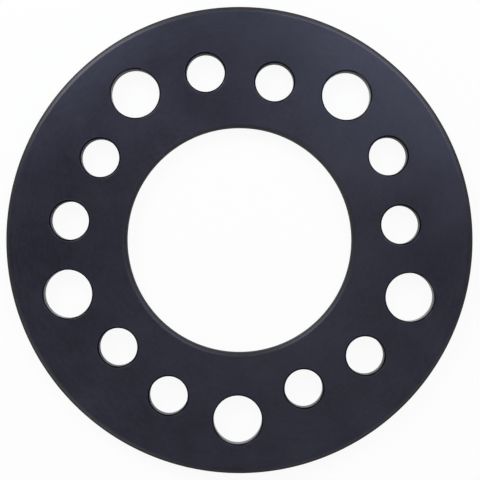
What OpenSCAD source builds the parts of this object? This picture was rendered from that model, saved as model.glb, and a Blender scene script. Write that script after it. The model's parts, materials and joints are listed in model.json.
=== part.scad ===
// Wheel spacer: a flat turned plate that goes between a hub and a wheel.
// It lies on z = 0 with the wheel axis along +Z, and one hole of the widest bolt circle points to -Y.
// Stud holes of three bolt circles take turns round the plate, so one spacer fits three stud patterns.

/* [Plate] */
// Outside diameter of the plate
outside_d = 165.1; // [150:0.1:200]
// Thickness of the plate, which is how far out it sets the wheel
thickness = 6.35; // [4:0.05:25.4]
// Diameter of the bore that goes over the middle of the hub
bore_d = 79.6; // [60:0.1:95]
// Radius of the rounded outside edge, on both faces
rim_round = 2; // [0.4:0.1:3]
// Radius of the rounded bore edge, on both faces
bore_round = 1.5; // [0.4:0.1:3]

/* [Stud holes] */
// Number of studs on each bolt circle
stud_count = 5; // [4:1:6]
// Diameter of the widest bolt circle
wide_circle_d = 127; // [120:0.05:139.7]
// Diameter of the middle bolt circle
middle_circle_d = 120.65; // [110:0.05:135]
// Diameter of the narrowest bolt circle
narrow_circle_d = 114.3; // [100:0.05:130]
// Diameter of the holes on the widest circle, which takes the thick studs
thick_stud_hole_d = 17.1; // [12:0.1:20]
// Diameter of the holes on the other two circles
thin_stud_hole_d = 13.5; // [11:0.1:17]
// Width of the 45 degree chamfer round each hole, on both faces
hole_chamfer = 0.5; // [0.1:0.1:1.5]

/* [Hidden] */
$fn = 96;

bore_r = bore_d / 2;
outside_r = outside_d / 2;
// Straight wall that always stays between the two rounds of a side, on a thin plate too
least_straight = 0.4;
round_limit = (thickness - least_straight) / 2;
rim_edge_r = min(rim_round, round_limit);
bore_edge_r = min(bore_round, round_limit);
// Bolt circle and hole diameters, in the order that the holes follow each other round the plate
patterns = [
    [wide_circle_d, thick_stud_hole_d],
    [narrow_circle_d, thin_stud_hole_d],
    [middle_circle_d, thin_stud_hole_d]
];
// Angle from each hole to the next, and the angle of the first
hole_step = 360 / (stud_count * len(patterns));
first_hole_angle = -90;
// How far the hole cutters run past each face
overcut = 1;

// Quarter of a disc, for one rounded corner of the section
module quarter_round(radius) {
    intersection() {
        circle(r = radius);
        square(radius);
    }
}

// Side of the section that ends at x = radius, straight in the middle and rounded at both faces
module rounded_side(radius) {
    translate([0, radius])
        square([radius, thickness - 2 * radius]);
    translate([0, thickness - radius])
        quarter_round(radius);
    translate([0, radius])
        mirror([0, 1])
            quarter_round(radius);
}

// Half section of the turned blank, from the bore wall to the outside wall
module blank_section() {
    flat_from = bore_r + bore_edge_r;
    flat_to = outside_r - rim_edge_r;
    translate([flat_from, 0])
        square([flat_to - flat_from, thickness]);
    translate([flat_to, 0])
        rounded_side(rim_edge_r);
    translate([flat_from, 0])
        mirror([1, 0])
            rounded_side(bore_edge_r);
}

// Cutter for one stud hole: the drilled wall, opened out by a chamfer at each face
module stud_hole(hole_d) {
    wall_r = hole_d / 2;
    mouth_r = wall_r + hole_chamfer + overcut;
    rotate_extrude()
        polygon([
            [0, -overcut],
            [mouth_r, -overcut],
            [wall_r, hole_chamfer],
            [wall_r, thickness - hole_chamfer],
            [mouth_r, thickness + overcut],
            [0, thickness + overcut]
        ]);
}

// The whole spacer: the turned blank with every bolt circle drilled
module spacer_plate() {
    color("#2d2d36")
        difference() {
            rotate_extrude()
                blank_section();
            for (stud = [0 : stud_count - 1], turn = [0 : len(patterns) - 1])
                rotate(first_hole_angle + (stud * len(patterns) + turn) * hole_step)
                    translate([patterns[turn][0] / 2, 0])
                        stud_hole(patterns[turn][1]);
        }
}

spacer_plate();
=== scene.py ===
import json
import math

import bpy
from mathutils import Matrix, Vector


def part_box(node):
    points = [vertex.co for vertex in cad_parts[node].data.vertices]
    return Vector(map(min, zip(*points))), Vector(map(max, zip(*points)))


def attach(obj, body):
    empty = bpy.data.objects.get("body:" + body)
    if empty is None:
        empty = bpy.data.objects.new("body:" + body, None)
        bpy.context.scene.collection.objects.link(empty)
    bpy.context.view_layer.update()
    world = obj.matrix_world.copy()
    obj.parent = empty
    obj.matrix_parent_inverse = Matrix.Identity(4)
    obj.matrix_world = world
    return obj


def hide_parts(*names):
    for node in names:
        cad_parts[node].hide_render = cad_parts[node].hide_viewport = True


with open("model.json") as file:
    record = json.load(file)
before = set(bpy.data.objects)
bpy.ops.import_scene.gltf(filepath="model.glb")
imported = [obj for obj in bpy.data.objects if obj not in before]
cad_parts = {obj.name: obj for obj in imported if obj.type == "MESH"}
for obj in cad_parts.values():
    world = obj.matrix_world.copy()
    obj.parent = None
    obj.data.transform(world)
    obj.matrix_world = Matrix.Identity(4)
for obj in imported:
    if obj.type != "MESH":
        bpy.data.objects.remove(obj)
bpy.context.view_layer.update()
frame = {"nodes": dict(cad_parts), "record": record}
mounts = {mount["name"]: mount for mount in frame["record"]["mounts"]}
plateLow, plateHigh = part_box("spacer_plate")
print("frame loaded:", sorted(frame["nodes"]))

millimetre = 0.001


# Node tree helpers, used for the geometry and for the materials

def fillSocket(tree, socket, value):
    if isinstance(value, bpy.types.NodeSocket):
        tree.links.new(value, socket)
    else:
        socket.default_value = value


def fillSockets(tree, node, inputs):
    for key, value in inputs.items():
        fillSocket(tree, node.inputs[key], value)


def addNode(tree, kind, inputs=None, **settings):
    node = tree.nodes.new(kind)
    for name, value in settings.items():
        setattr(node, name, value)
    fillSockets(tree, node, inputs or {})
    return node


def calc(tree, operation, *values):
    return addNode(tree, "ShaderNodeMath", dict(enumerate(values)), operation=operation).outputs[0]


def vectorCalc(tree, operation, *values):
    node = addNode(tree, "ShaderNodeVectorMath", dict(enumerate(values)), operation=operation)
    return node.outputs["Value" if operation == "LENGTH" else "Vector"]


def vectorOf(tree, x, y, z):
    return addNode(tree, "ShaderNodeCombineXYZ", {"X": x, "Y": y, "Z": z}).outputs[0]


socketKinds = {
    "geometry": "NodeSocketGeometry",
    "material": "NodeSocketMaterial",
    "vector": "NodeSocketVector",
    "float": "NodeSocketFloat",
    "int": "NodeSocketInt",
}


def newGroup(name, treeType, inputs, outputs):
    tree = bpy.data.node_groups.new(name, treeType)
    for label, kind in inputs.items():
        tree.interface.new_socket(label, in_out="INPUT", socket_type=socketKinds[kind])
    for label, kind in outputs.items():
        tree.interface.new_socket(label, in_out="OUTPUT", socket_type=socketKinds[kind])
    return tree, tree.nodes.new("NodeGroupInput").outputs, tree.nodes.new("NodeGroupOutput").inputs


def placeGroup(tree, group, inputs):
    kind = "GeometryNodeGroup" if tree.bl_idname == "GeometryNodeTree" else "ShaderNodeGroup"
    return addNode(tree, kind, inputs, node_tree=group).outputs


# Materials: black anodise over turned, drilled and reamed aluminium

anodise = {
    "deepTone": (0.0020, 0.0018, 0.0050, 1.0),   # dye where the oxide is thickest
    "paleTone": (0.0175, 0.0172, 0.0268, 1.0),
    "toneRange": (0.31, 0.69),                   # part of the noise that runs from deep to pale
    "toneMiddle": 0.5,                           # noise at which the roughness is as written
    "toneShares": {"cloud": 0.32, "marks": 0.40, "speck": 0.28},
    "cloudSize": 16 * millimetre,                # slow drift of the dye
    "cloudDetail": 3.0,
    "cloudShiftForShade": (0.022, 0.141, 0.439),         # metres, picks the stretch of the random drift that shows, placed so that its darker patches fall where the face lies darker, as painted shade
    "speckSize": 0.45 * millimetre,              # fine etched grain
    "speckDetail": 2.0,
    "sheen": (0.69, 0.705, 0.97, 1.0),           # cold tint of the light that the oxide throws back
    "oxideIndex": 1.65,
}

toolMarks = {
    "fineNoise": {"Scale": 1.0, "Detail": 2.0, "Roughness": 0.55},
    "streakNoise": {"Scale": 1.0, "Detail": 3.0, "Roughness": 0.6},
    "streakShare": 0.75,                         # the rest of the tone comes from the fine marks
    "fadeNoise": {"Scale": 3.0, "Detail": 1.0},  # the marks come and go slowly on the way round
    "fadeLeast": 0.6,                            # depth of the marks where they are faintest
    "fadeSwing": 0.8,
    "faceSlope": 0.7,                            # steeper than this, the marks follow the height
}

turnedMarks = {
    "pitch": 0.22 * millimetre,                  # feed of the facing cut
    "markDepth": 0.0016 * millimetre,
    "streakWidth": 1.1 * millimetre,
    "streakLength": 2.6 * millimetre,
    "streakRadius": 60 * millimetre,             # where the streaks have that length
    "roughnessSwing": 0.10,                      # how far the roughness follows the dye's tone
}

drilledMarks = {
    "pitch": 0.30 * millimetre,                  # feed of the drill
    "markDepth": 0.003 * millimetre,
    "streakWidth": 0.8 * millimetre,
    "streakLength": 3.0 * millimetre,
    "streakRadius": 8 * millimetre,
    "roughnessSwing": 0.06,
}

facedFinish = {
    **turnedMarks,
    "roughness": (0.316, 0.370),                 # inside and outside the span of radius below
    "radiusSpan": (64 * millimetre, 81 * millimetre),
    "gloss": 0.635,
    "anisotropy": 0.45,
}

# Edges turn from the faces' finish to their own as they tilt. A slope is 1 on the level and 0 on a wall.
boreFinish = {
    **turnedMarks,
    "flatRoughness": facedFinish["roughness"][0],
    "flatSlopes": (0.94, 0.999),                 # from the edge's own finish to the face's
    "tintSlopes": (0.965, 0.9995),               # the same for the tint
    "roughness": 0.53,
    "gloss": 0.66,
    "anisotropy": 0.725,
    "sheen": (0.735, 0.710, 0.840, 1.0),         # thinner oxide, nearly without tint
    "brokenBelow": (0.60, 0.86),                 # slopes at which the broken edge's duller skin and its painted shade fade in
    "brokenGloss": 0.495,
    # darker base colour on the broken edge: painted shade for the dark outline of its steep part
    "brokenShadeTone": (0.0074, 0.0073, 0.0086, 1.0),
}

rimFinish = {
    **boreFinish,
    "flatRoughness": facedFinish["roughness"][1],
    "roughness": 0.485,
    "gloss": 0.715,
    "sheen": (0.745, 0.710, 0.770, 1.0),
    "brokenGloss": 0.27,
}

drilledFinish = {
    **boreFinish,
    **drilledMarks,
    "flatRoughness": 0.40,
    "roughness": 0.24,
    "gloss": 0.33,
    "anisotropy": 0.30,
    "sheen": (0.740, 0.710, 0.805, 1.0),
    "brokenBelow": (0.86, 0.98),
    "brokenAbove": (0.12, 0.40),                 # slopes under which a hole's wall keeps its own gloss and colour, without the painted shade
    "brokenGloss": 0.13,
    # darker base colour on each hole's chamfer: painted shade for the dark line round the hole
    "brokenShadeTone": (0.0050, 0.0052, 0.0080, 1.0),
}

reamedFinish = {                                 # the large holes, smoother, with a glossier chamfer and fainter painted shade on it
    **drilledFinish,
    "roughness": 0.08,
    "gloss": 0.68,
    "brokenGloss": 0.44,
    "brokenShadeTone": (0.0090, 0.0090, 0.0115, 1.0),
}


def mixValue(tree, factor, low, high):
    return addNode(tree, "ShaderNodeMix", {0: factor, 2: low, 3: high}).outputs[0]


def mixColor(tree, factor, low, high):
    return addNode(tree, "ShaderNodeMix", {0: factor, 6: low, 7: high}, data_type="RGBA").outputs[2]


def ramp(tree, value, span):
    return addNode(tree, "ShaderNodeMapRange", {
        "Value": value, "From Min": span[0], "From Max": span[1],
    }, interpolation_type="SMOOTHSTEP").outputs[0]


def noise(tree, inputs, **settings):
    return addNode(tree, "ShaderNodeTexNoise", inputs, **settings).outputs[0]


def buildTurningMarks():
    tree, ins, outs = newGroup(
        "turningMarks", "ShaderNodeTree",
        {
            "Path": "float", "Around": "vector", "Pitch": "float",
            "Streak Width": "float", "Streaks Round": "float",
        },
        {"Height": "float", "Tone": "float"},
    )
    turns = calc(tree, "DIVIDE", ins["Path"], ins["Pitch"])
    fine = noise(tree, {"W": turns, **toolMarks["fineNoise"]}, noise_dimensions="1D")
    # short streaks that lie along the cut and are strung round it
    ringScale = vectorOf(tree, ins["Streaks Round"], ins["Streaks Round"], 0.0)
    ringShift = vectorOf(tree, 0.0, 0.0, calc(tree, "DIVIDE", ins["Path"], ins["Streak Width"]))
    streakPlace = vectorCalc(tree, "MULTIPLY_ADD", ins["Around"], ringScale, ringShift)
    streaks = noise(tree, {"Vector": streakPlace, **toolMarks["streakNoise"]})
    fade = noise(tree, {"Vector": ins["Around"], **toolMarks["fadeNoise"]})
    depth = calc(tree, "MULTIPLY_ADD", fade, toolMarks["fadeSwing"], toolMarks["fadeLeast"])
    fillSocket(tree, outs["Height"], calc(tree, "MULTIPLY", fine, depth))
    fillSocket(tree, outs["Tone"], mixValue(tree, toolMarks["streakShare"], fine, streaks))
    return tree


def buildDyeTone():
    tree, ins, outs = newGroup(
        "dyeTone", "ShaderNodeTree",
        {"Position": "vector", "Marks": "float", "Cloud Size": "float", "Speck Size": "float"},
        {"Tone": "float"},
    )
    shares = anodise["toneShares"]
    mixed = calc(tree, "MULTIPLY", ins["Marks"], shares["marks"])
    for name, size in (("cloud", "Cloud Size"), ("speck", "Speck Size")):
        layer = noise(tree, {
            "Vector": ins["Position"], "Scale": calc(tree, "DIVIDE", 1.0, ins[size]),
            "Detail": anodise[f"{name}Detail"],
        })
        mixed = calc(tree, "MULTIPLY_ADD", layer, shares[name], mixed)
    fillSocket(tree, outs["Tone"], mixed)
    return tree


turningMarks = buildTurningMarks()
dyeTone = buildDyeTone()


def startAnodise(name, finish, drilled):
    material = bpy.data.materials.new(name)
    material.use_nodes = True
    tree = material.node_tree
    tree.nodes.clear()
    coordinates = addNode(tree, "ShaderNodeTexCoord").outputs
    place = addNode(tree, "ShaderNodeSeparateXYZ", {"Vector": coordinates["Object"]}).outputs
    facing = addNode(tree, "ShaderNodeSeparateXYZ", {"Vector": coordinates["Normal"]}).outputs
    slope = calc(tree, "ABSOLUTE", facing["Z"])
    radius = vectorCalc(tree, "LENGTH", vectorOf(tree, place["X"], place["Y"], 0.0))
    # tool marks run round the plate's axis, or round the axis of each drilled hole
    if drilled:
        path, outwards = place["Z"], facing
    else:
        level = calc(tree, "GREATER_THAN", slope, toolMarks["faceSlope"])
        path, outwards = mixValue(tree, level, place["Z"], radius), place
    around = vectorCalc(tree, "NORMALIZE", vectorOf(tree, outwards["X"], outwards["Y"], 0.0))
    along = vectorOf(tree, calc(tree, "MULTIPLY", outwards["Y"], -1.0), outwards["X"], 0.0)
    across = vectorCalc(tree, "NORMALIZE", vectorCalc(tree, "CROSS_PRODUCT", coordinates["Normal"], along))
    tangent = addNode(
        tree, "ShaderNodeVectorTransform", {"Vector": across},
        vector_type="VECTOR", convert_from="OBJECT", convert_to="WORLD",
    ).outputs[0]
    marks = placeGroup(tree, turningMarks, {
        "Path": path, "Around": around, "Pitch": finish["pitch"], "Streak Width": finish["streakWidth"],
        "Streaks Round": finish["streakRadius"] / finish["streakLength"],
    })
    dye = placeGroup(tree, dyeTone, {
        "Position": vectorCalc(tree, "ADD", coordinates["Object"], anodise["cloudShiftForShade"]),
        "Marks": marks["Tone"], "Cloud Size": anodise["cloudSize"], "Speck Size": anodise["speckSize"],
    })
    pale = ramp(tree, dye["Tone"], anodise["toneRange"])
    bump = addNode(tree, "ShaderNodeBump", {
        "Strength": 1.0, "Distance": finish["markDepth"], "Height": marks["Height"],
    })
    shader = addNode(tree, "ShaderNodeBsdfPrincipled", {
        "IOR": anodise["oxideIndex"], "Tangent": tangent, "Normal": bump.outputs[0],
    })
    output = tree.nodes.new("ShaderNodeOutputMaterial")
    tree.links.new(shader.outputs[0], output.inputs["Surface"])
    offMiddle = calc(tree, "SUBTRACT", dye["Tone"], anodise["toneMiddle"])
    skin = {
        "slope": slope,
        "radius": radius,
        "tone": mixColor(tree, pale, anodise["deepTone"], anodise["paleTone"]),
        "swing": calc(tree, "MULTIPLY", offMiddle, finish["roughnessSwing"]),
    }
    return material, shader, skin


def buildFaceAnodise(name, finish):
    material, shader, skin = startAnodise(name, finish, drilled=False)
    tree = material.node_tree
    outer = ramp(tree, skin["radius"], finish["radiusSpan"])
    fillSockets(tree, shader, {
        "Base Color": skin["tone"],
        "Roughness": calc(tree, "ADD", mixValue(tree, outer, *finish["roughness"]), skin["swing"]),
        "Specular IOR Level": finish["gloss"],
        "Specular Tint": anodise["sheen"],
        "Anisotropic": finish["anisotropy"],
    })
    return material


def buildEdgeAnodise(name, finish, drilled):
    material, shader, skin = startAnodise(name, finish, drilled)
    tree = material.node_tree
    flat = ramp(tree, skin["slope"], finish["flatSlopes"])
    tinted = ramp(tree, skin["slope"], finish["tintSlopes"])
    # edges are broken with an abrasive before the dye, so they are duller; their base colour is painted
    # darker as shade for the dark outline along them
    broken = calc(tree, "SUBTRACT", 1.0, ramp(tree, skin["slope"], finish["brokenBelow"]))
    if drilled:
        broken = calc(tree, "MULTIPLY", broken, ramp(tree, skin["slope"], finish["brokenAbove"]))
    gloss = mixValue(tree, flat, finish["gloss"], facedFinish["gloss"])
    roughness = mixValue(tree, flat, finish["roughness"], finish["flatRoughness"])
    fillSockets(tree, shader, {
        "Base Color": mixColor(tree, broken, skin["tone"], finish["brokenShadeTone"]),
        "Roughness": calc(tree, "ADD", roughness, skin["swing"]),
        "Specular IOR Level": mixValue(tree, broken, gloss, finish["brokenGloss"]),
        "Specular Tint": mixColor(tree, tinted, finish["sheen"], anodise["sheen"]),
        "Anisotropic": mixValue(tree, flat, finish["anisotropy"], facedFinish["anisotropy"]),
    })
    return material


facedAnodise = buildFaceAnodise("faced_anodise", facedFinish)
boreAnodise = buildEdgeAnodise("bore_anodise", boreFinish, drilled=False)
rimAnodise = buildEdgeAnodise("rim_anodise", rimFinish, drilled=False)
drilledAnodise = buildEdgeAnodise("drilled_anodise", drilledFinish, drilled=True)
reamedAnodise = buildEdgeAnodise("reamed_anodise", reamedFinish, drilled=True)
print("materials:", [m.name for m in (facedAnodise, boreAnodise, rimAnodise, drilledAnodise, reamedAnodise)])


# Spacer: every edge is a profile swept round a circle, and the flat faces fill what lies between

spacer = {
    "rimRound": 2.0 * millimetre,
    "boreRound": 1.5 * millimetre,
    "roundSteps": 10,
    "holeChamfer": 0.5 * millimetre,
    "cornerRounds": {                            # broken corners either side of each hole's chamfer
        "wide_bolt_circle": 0.12 * millimetre,
        "narrow_bolt_circle": 0.30 * millimetre,
        "middle_bolt_circle": 0.30 * millimetre,
    },
    "chamferSteps": 4,
    "land": 0.06 * millimetre,                   # flat ring that holds each face level up to its edge
    "rimSegments": 360,
    "boreSegments": 240,
    "holeSegments": 72,
    "mergeGap": 0.001 * millimetre,
    "firstHoleAngle": math.radians(-90),
}
circleOrder = list(spacer["cornerRounds"])       # the way the holes follow each other round the plate
holeFinishes = {
    "wide_bolt_circle": reamedAnodise,
    "narrow_bolt_circle": drilledAnodise,
    "middle_bolt_circle": drilledAnodise,
}


def buildEdgeSweep():
    tree, ins, outs = newGroup(
        "edgeSweep", "GeometryNodeTree",
        {
            "Wall Radius": "float", "Land Side": "float", "Chamfer": "float", "Round": "float",
            "Round Steps": "int", "Land": "float", "Thickness": "float", "Segments": "int",
        },
        {"Wall": "geometry", "Mouth": "geometry"},
    )
    # corners of the profile, from one face down the wall to the other: x runs outwards and y downwards
    chamferX = calc(tree, "MULTIPLY", ins["Land Side"], ins["Chamfer"])
    reach = calc(tree, "ADD", ins["Chamfer"], ins["Land"])
    mouthX = calc(tree, "MULTIPLY", ins["Land Side"], reach)
    lowChamfer = calc(tree, "SUBTRACT", ins["Thickness"], ins["Chamfer"])
    corners = [
        (mouthX, 0.0), (chamferX, 0.0), (0.0, ins["Chamfer"]),
        (0.0, lowChamfer), (chamferX, ins["Thickness"]), (mouthX, ins["Thickness"]),
    ]
    pick = addNode(tree, "GeometryNodeIndexSwitch", data_type="VECTOR")
    while len(pick.index_switch_items) < len(corners):
        pick.index_switch_items.new()
    fillSocket(tree, pick.inputs[0], tree.nodes.new("GeometryNodeInputIndex").outputs[0])
    for number, (x, y) in enumerate(corners):
        fillSocket(tree, pick.inputs[number + 1], vectorOf(tree, x, y, 0.0))
    line = addNode(tree, "GeometryNodeMeshLine", {"Count": len(corners)})
    bent = addNode(tree, "GeometryNodeSetPosition", {
        "Geometry": line.outputs[0], "Position": pick.outputs[0],
    })
    merged = addNode(tree, "GeometryNodeMergeByDistance", {
        "Geometry": bent.outputs[0], "Distance": spacer["mergeGap"],
    })
    sharp = addNode(tree, "GeometryNodeMeshToCurve", {"Mesh": merged.outputs[0]})
    profile = addNode(tree, "GeometryNodeFilletCurve", {
        "Curve": sharp.outputs[0], "Count": ins["Round Steps"], "Radius": ins["Round"], "Limit Radius": True,
    }, mode="POLY")
    wallCircle = addNode(tree, "GeometryNodeCurvePrimitiveCircle", {
        "Resolution": ins["Segments"], "Radius": ins["Wall Radius"],
    })
    upright = addNode(tree, "GeometryNodeSetCurveNormal", {"Curve": wallCircle.outputs[0]}, mode="Z_UP")
    swept = addNode(tree, "GeometryNodeCurveToMesh", {
        "Curve": upright.outputs[0], "Profile Curve": profile.outputs[0],
    })
    # a hole's wall faces its own axis
    outward = addNode(tree, "GeometryNodeFlipFaces", {
        "Mesh": swept.outputs[0], "Selection": calc(tree, "GREATER_THAN", ins["Land Side"], 0.0),
    })
    raised = addNode(tree, "GeometryNodeTransform", {
        "Geometry": outward.outputs[0], "Translation": vectorOf(tree, 0.0, 0.0, ins["Thickness"]),
    })
    mouth = addNode(tree, "GeometryNodeCurvePrimitiveCircle", {
        "Resolution": ins["Segments"], "Radius": calc(tree, "ADD", ins["Wall Radius"], mouthX),
    })
    fillSocket(tree, outs["Wall"], raised.outputs[0])
    fillSocket(tree, outs["Mouth"], mouth.outputs[0])
    return tree


def buildBoltCircle():
    tree, ins, outs = newGroup(
        "boltCircle", "GeometryNodeTree",
        {
            "Wall": "geometry", "Mouth": "geometry", "Circle Radius": "float", "Start Angle": "float",
            "Stud Count": "int",
        },
        {"Walls": "geometry", "Mouths": "geometry"},
    )
    ring = addNode(tree, "GeometryNodeMeshCircle", {
        "Vertices": ins["Stud Count"], "Radius": ins["Circle Radius"],
    })
    turned = addNode(tree, "GeometryNodeTransform", {
        "Geometry": ring.outputs[0], "Rotation": vectorOf(tree, 0.0, 0.0, ins["Start Angle"]),
    })
    for source, result in (("Wall", "Walls"), ("Mouth", "Mouths")):
        placed = addNode(tree, "GeometryNodeInstanceOnPoints", {
            "Points": turned.outputs[0], "Instance": ins[source],
        })
        real = addNode(tree, "GeometryNodeRealizeInstances", {"Geometry": placed.outputs[0]})
        fillSocket(tree, outs[result], real.outputs[0])
    return tree


def joinAll(tree, sockets):
    join = tree.nodes.new("GeometryNodeJoinGeometry")
    for socket in reversed(sockets):
        tree.links.new(socket, join.inputs[0])
    return join.outputs[0]


def markFaces(tree, geometry):
    marked = addNode(tree, "GeometryNodeCaptureAttribute", domain="FACE")
    marked.capture_items.new("BOOLEAN", "Marked")
    fillSocket(tree, marked.inputs["Geometry"], geometry)
    fillSocket(tree, marked.inputs["Marked"], True)
    return marked.outputs["Geometry"], marked.outputs["Marked"]


def buildSpacerTree(edgeSweep, boltCircle):
    circleInputs = {}
    for name in circleOrder:
        for size in ("radius", "hole", "corner", "angle"):
            circleInputs[f"{name} {size}"] = "float"
        circleInputs[f"{name} finish"] = "material"
    tree, ins, outs = newGroup(
        "turnedSpacer", "GeometryNodeTree",
        {
            "Thickness": "float", "Rim Radius": "float", "Bore Radius": "float", "Rim Round": "float",
            "Bore Round": "float", "Hole Chamfer": "float", "Land": "float",
            "Round Steps": "int", "Chamfer Steps": "int", "Rim Segments": "int", "Bore Segments": "int",
            "Hole Segments": "int", "Stud Count": "int", **circleInputs,
            "Faced Finish": "material", "Rim Finish": "material", "Bore Finish": "material",
        },
        {"Geometry": "geometry"},
    )
    # every wall is marked, so that it can take its own finish once all is joined
    skin, mouths, finishMarks = [], [], {}
    # the plate lies inside its rim and outside its bore
    for edge, landSide in (("Rim", -1.0), ("Bore", 1.0)):
        swept = placeGroup(tree, edgeSweep, {
            "Wall Radius": ins[f"{edge} Radius"], "Land Side": landSide, "Chamfer": 0.0,
            "Round": ins[f"{edge} Round"], "Round Steps": ins["Round Steps"],
            "Land": calc(tree, "ADD", ins[f"{edge} Round"], ins["Land"]),
            "Thickness": ins["Thickness"], "Segments": ins[f"{edge} Segments"],
        })
        wall, finishMarks[f"{edge} Finish"] = markFaces(tree, swept["Wall"])
        skin.append(wall)
        mouths.append(swept["Mouth"])
    for name in circleOrder:
        hole = placeGroup(tree, edgeSweep, {
            "Wall Radius": ins[f"{name} hole"], "Land Side": 1.0, "Chamfer": ins["Hole Chamfer"],
            "Round": ins[f"{name} corner"], "Round Steps": ins["Chamfer Steps"],
            "Land": calc(tree, "ADD", ins[f"{name} corner"], ins["Land"]),
            "Thickness": ins["Thickness"], "Segments": ins["Hole Segments"],
        })
        circle = placeGroup(tree, boltCircle, {
            "Wall": hole["Wall"], "Mouth": hole["Mouth"], "Circle Radius": ins[f"{name} radius"],
            "Start Angle": ins[f"{name} angle"], "Stud Count": ins["Stud Count"],
        })
        walls, finishMarks[f"{name} finish"] = markFaces(tree, circle["Walls"])
        skin.append(walls)
        mouths.append(circle["Mouths"])
    face = addNode(tree, "GeometryNodeFillCurve", {"Curve": joinAll(tree, mouths)})
    topFace = addNode(tree, "GeometryNodeTransform", {
        "Geometry": face.outputs[0], "Translation": vectorOf(tree, 0.0, 0.0, ins["Thickness"]),
    })
    underFace = addNode(tree, "GeometryNodeFlipFaces", {"Mesh": face.outputs[0]})
    skin += [topFace.outputs[0], underFace.outputs[0]]
    whole = addNode(tree, "GeometryNodeMergeByDistance", {
        "Geometry": joinAll(tree, skin), "Distance": spacer["mergeGap"],
    })
    smooth = addNode(tree, "GeometryNodeSetShadeSmooth", {"Geometry": whole.outputs[0]})
    real = addNode(tree, "GeometryNodeRealizeInstances", {"Geometry": smooth.outputs[0]})
    finished = addNode(tree, "GeometryNodeSetMaterial", {
        "Geometry": real.outputs[0], "Material": ins["Faced Finish"],
    })
    for finish, mark in finishMarks.items():
        finished = addNode(tree, "GeometryNodeSetMaterial", {
            "Geometry": finished.outputs[0], "Selection": mark, "Material": ins[finish],
        })
    fillSocket(tree, outs["Geometry"], finished.outputs[0])
    return tree


def buildSpacer():
    tree = buildSpacerTree(buildEdgeSweep(), buildBoltCircle())
    studCount = mounts[circleOrder[0]]["dims"]["count"]
    values = {
        "Thickness": plateHigh.z - plateLow.z,
        "Rim Radius": max(plateHigh.x, plateHigh.y, -plateLow.x, -plateLow.y),
        "Bore Radius": mounts["hub_bore"]["dims"]["r_mm"] * millimetre,
        "Rim Round": spacer["rimRound"], "Bore Round": spacer["boreRound"],
        "Hole Chamfer": spacer["holeChamfer"], "Land": spacer["land"],
        "Round Steps": spacer["roundSteps"], "Chamfer Steps": spacer["chamferSteps"],
        "Rim Segments": spacer["rimSegments"], "Bore Segments": spacer["boreSegments"],
        "Hole Segments": spacer["holeSegments"], "Stud Count": studCount,
        "Faced Finish": facedAnodise, "Rim Finish": rimAnodise, "Bore Finish": boreAnodise,
    }
    holeStep = 2 * math.pi / (studCount * len(circleOrder))
    for turn, name in enumerate(circleOrder):
        dims = mounts[name]["dims"]
        values[f"{name} radius"] = dims["pcd_mm"] / 2 * millimetre
        values[f"{name} hole"] = dims["hole_r_mm"] * millimetre
        values[f"{name} corner"] = spacer["cornerRounds"][name]
        values[f"{name} angle"] = spacer["firstHoleAngle"] + turn * holeStep
        values[f"{name} finish"] = holeFinishes[name]
    maker = bpy.data.objects.new("spacerMaker", bpy.data.meshes.new("spacerMaker"))
    bpy.context.scene.collection.objects.link(maker)
    modifier = maker.modifiers.new("turnedSpacer", "NODES")
    modifier.node_group = tree
    for item in tree.interface.items_tree:
        if item.item_type == "SOCKET" and item.in_out == "INPUT":
            modifier[item.identifier] = values[item.name]
    graph = bpy.context.evaluated_depsgraph_get()
    mesh = bpy.data.meshes.new_from_object(maker.evaluated_get(graph), depsgraph=graph)
    bpy.data.objects.remove(maker)
    mesh.name = "turned_spacer"
    piece = bpy.data.objects.new("turned_spacer", mesh)
    bpy.context.scene.collection.objects.link(piece)
    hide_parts("spacer_plate")
    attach(piece, "root")
    return piece


turnedSpacer = buildSpacer()
print("spacer:", len(turnedSpacer.data.vertices), "points,", len(turnedSpacer.data.polygons), "faces")


# Stage: a white sweep that shows white to the camera and keeps a trace of the spacer's shadow

stage = {
    "floorDrop": 0.2 * millimetre,
    "flatRadius": 2.0,                           # metres, as are the next two
    "curveRadius": 0.8,
    "wallHeight": 1.0,
    "floorRings": 4,
    "curveRings": 12,
    "segments": 96,
    "paper": (0.92, 0.92, 0.92, 1.0),
    "glow": 1.0,
    "cameraGlow": 0.93,                          # share of the glow that the camera sees, the rest is paper
    "glossyGlow": 0.03,                          # and that reflections see
}


def buildSweepMaterial():
    material = bpy.data.materials.new("studio_paper")
    material.use_nodes = True
    tree = material.node_tree
    tree.nodes.clear()
    rays = addNode(tree, "ShaderNodeLightPath").outputs
    straight = calc(tree, "MAXIMUM", rays["Is Camera Ray"], rays["Is Transmission Ray"])
    glow = calc(
        tree, "MAXIMUM", calc(tree, "MULTIPLY", straight, stage["cameraGlow"]),
        calc(tree, "MULTIPLY", rays["Is Glossy Ray"], stage["glossyGlow"]),
    )
    paper = addNode(tree, "ShaderNodeBsdfDiffuse", {"Color": stage["paper"]})
    light = addNode(tree, "ShaderNodeEmission", {"Strength": stage["glow"]})
    mixed = tree.nodes.new("ShaderNodeMixShader")
    for socket, value in zip(mixed.inputs, (glow, paper.outputs[0], light.outputs[0])):
        fillSocket(tree, socket, value)
    output = tree.nodes.new("ShaderNodeOutputMaterial")
    tree.links.new(mixed.outputs[0], output.inputs["Surface"])
    return material


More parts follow.
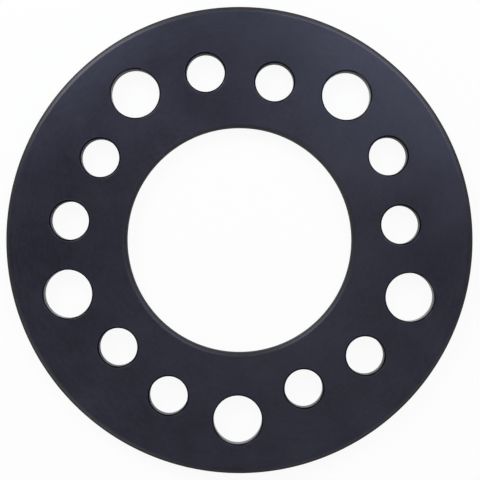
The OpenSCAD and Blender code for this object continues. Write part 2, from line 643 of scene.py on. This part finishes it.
def buildSweep():
    # rings of the sweep: flat floor, a quarter curve, then a plain wall
    floorStep = stage["flatRadius"] / stage["floorRings"]
    profile = [(floorStep * step, 0.0) for step in range(1, stage["floorRings"] + 1)]
    for step in range(1, stage["curveRings"] + 1):
        angle = math.pi / 2 * step / stage["curveRings"]
        rise = stage["curveRadius"] * (1 - math.cos(angle))
        profile.append((stage["flatRadius"] + stage["curveRadius"] * math.sin(angle), rise))
    profile.append((profile[-1][0], profile[-1][1] + stage["wallHeight"]))
    points = [(0.0, 0.0, -stage["floorDrop"])]
    for radius, height in profile:
        for side in range(stage["segments"]):
            angle = 2 * math.pi * side / stage["segments"]
            points.append((radius * math.cos(angle), radius * math.sin(angle), height - stage["floorDrop"]))
    faces = []
    for side in range(stage["segments"]):
        after = (side + 1) % stage["segments"]
        faces.append((0, 1 + side, 1 + after))
        for ring in range(len(profile) - 1):
            inner, outer = 1 + ring * stage["segments"], 1 + (ring + 1) * stage["segments"]
            faces.append((inner + side, outer + side, outer + after, inner + after))
    mesh = bpy.data.meshes.new("studio_sweep")
    mesh.from_pydata(points, [], faces)
    mesh.shade_smooth()
    mesh.materials.append(buildSweepMaterial())
    sweep = bpy.data.objects.new("studio_sweep", mesh)
    bpy.context.scene.collection.objects.link(sweep)


buildSweep()


# Light: four softboxes round the plate, a small panel overhead and a dim even room

studio = {
    "roomColor": (0.98, 0.98, 0.96, 1.0),
    "roomStrength": 0.08,
    "distance": 0.70,                            # metres from the plate's middle, and sizes in metres too
    "colors": {"cool": (0.96, 0.99, 1.05), "warm": (1.0, 0.99, 0.90)},
    "softboxes": {
        "upperRight": {"azimuth": 53.3, "elevation": 48.8, "size": 0.484, "radiance": 3.07, "color": "cool"},
        "upperLeft": {"azimuth": 131.2, "elevation": 41.6, "size": 0.316, "radiance": 8.12, "color": "cool"},
        "lowerLeft": {"azimuth": 223.9, "elevation": 32.8, "size": 0.600, "radiance": 0.88, "color": "warm"},
        "lowerRight": {"azimuth": 308.6, "elevation": 35.9, "size": 0.600, "radiance": 0.54, "color": "warm"},
        "overhead": {"azimuth": 301.5, "elevation": 86.6, "size": 0.092, "radiance": 2.73, "color": "warm"},
    },
}


def buildLights():
    world = bpy.data.worlds.new("studio_room")
    world.use_nodes = True
    background = world.node_tree.nodes["Background"]
    background.inputs["Color"].default_value = studio["roomColor"]
    background.inputs["Strength"].default_value = studio["roomStrength"]
    bpy.context.scene.world = world
    for name, box in studio["softboxes"].items():
        lamp = bpy.data.lights.new(name, "AREA")
        lamp.shape = "SQUARE"
        lamp.size = box["size"]
        lamp.energy = box["radiance"] * math.pi * box["size"] ** 2
        lamp.color = studio["colors"][box["color"]]
        azimuth, elevation = math.radians(box["azimuth"]), math.radians(box["elevation"])
        towards = Vector((
            math.cos(elevation) * math.cos(azimuth),
            math.cos(elevation) * math.sin(azimuth),
            math.sin(elevation),
        ))
        holder = bpy.data.objects.new(name, lamp)
        holder.location = towards * studio["distance"]
        holder.rotation_euler = towards.to_track_quat("Z", "Y").to_euler()
        holder.visible_camera = False
        bpy.context.scene.collection.objects.link(holder)


buildLights()


# Camera: straight above the plate, turned a little so that the holes stand as in the picture

view = {
    "height": 0.48,                              # metres above the upper face
    "aside": (0.20 * millimetre, 0.02 * millimetre),  # how far the lens stands off the plate's axis
    "roll": math.radians(0.55),
    "faceScale": 2835.5,                         # pixels to a metre on the upper face
    "imageSize": 480,                            # pixels
    "sensorWidth": 36.0,                         # millimetres, as Blender counts them
    "nearest": 10 * millimetre,                  # what is closer to the lens isn't drawn
}


def buildCamera():
    lens = bpy.data.cameras.new("camera")
    lens.sensor_width = view["sensorWidth"]
    lens.lens = view["sensorWidth"] * view["faceScale"] * view["height"] / view["imageSize"]
    lens.clip_start = view["nearest"]
    holder = bpy.data.objects.new("camera", lens)
    holder.location = (*view["aside"], plateHigh.z + view["height"])
    holder.rotation_euler = (0.0, 0.0, view["roll"])
    bpy.context.scene.collection.objects.link(holder)
    bpy.context.scene.camera = holder


buildCamera()
bpy.context.scene.view_settings.view_transform = "Standard"
print("stage, lights and camera ready")
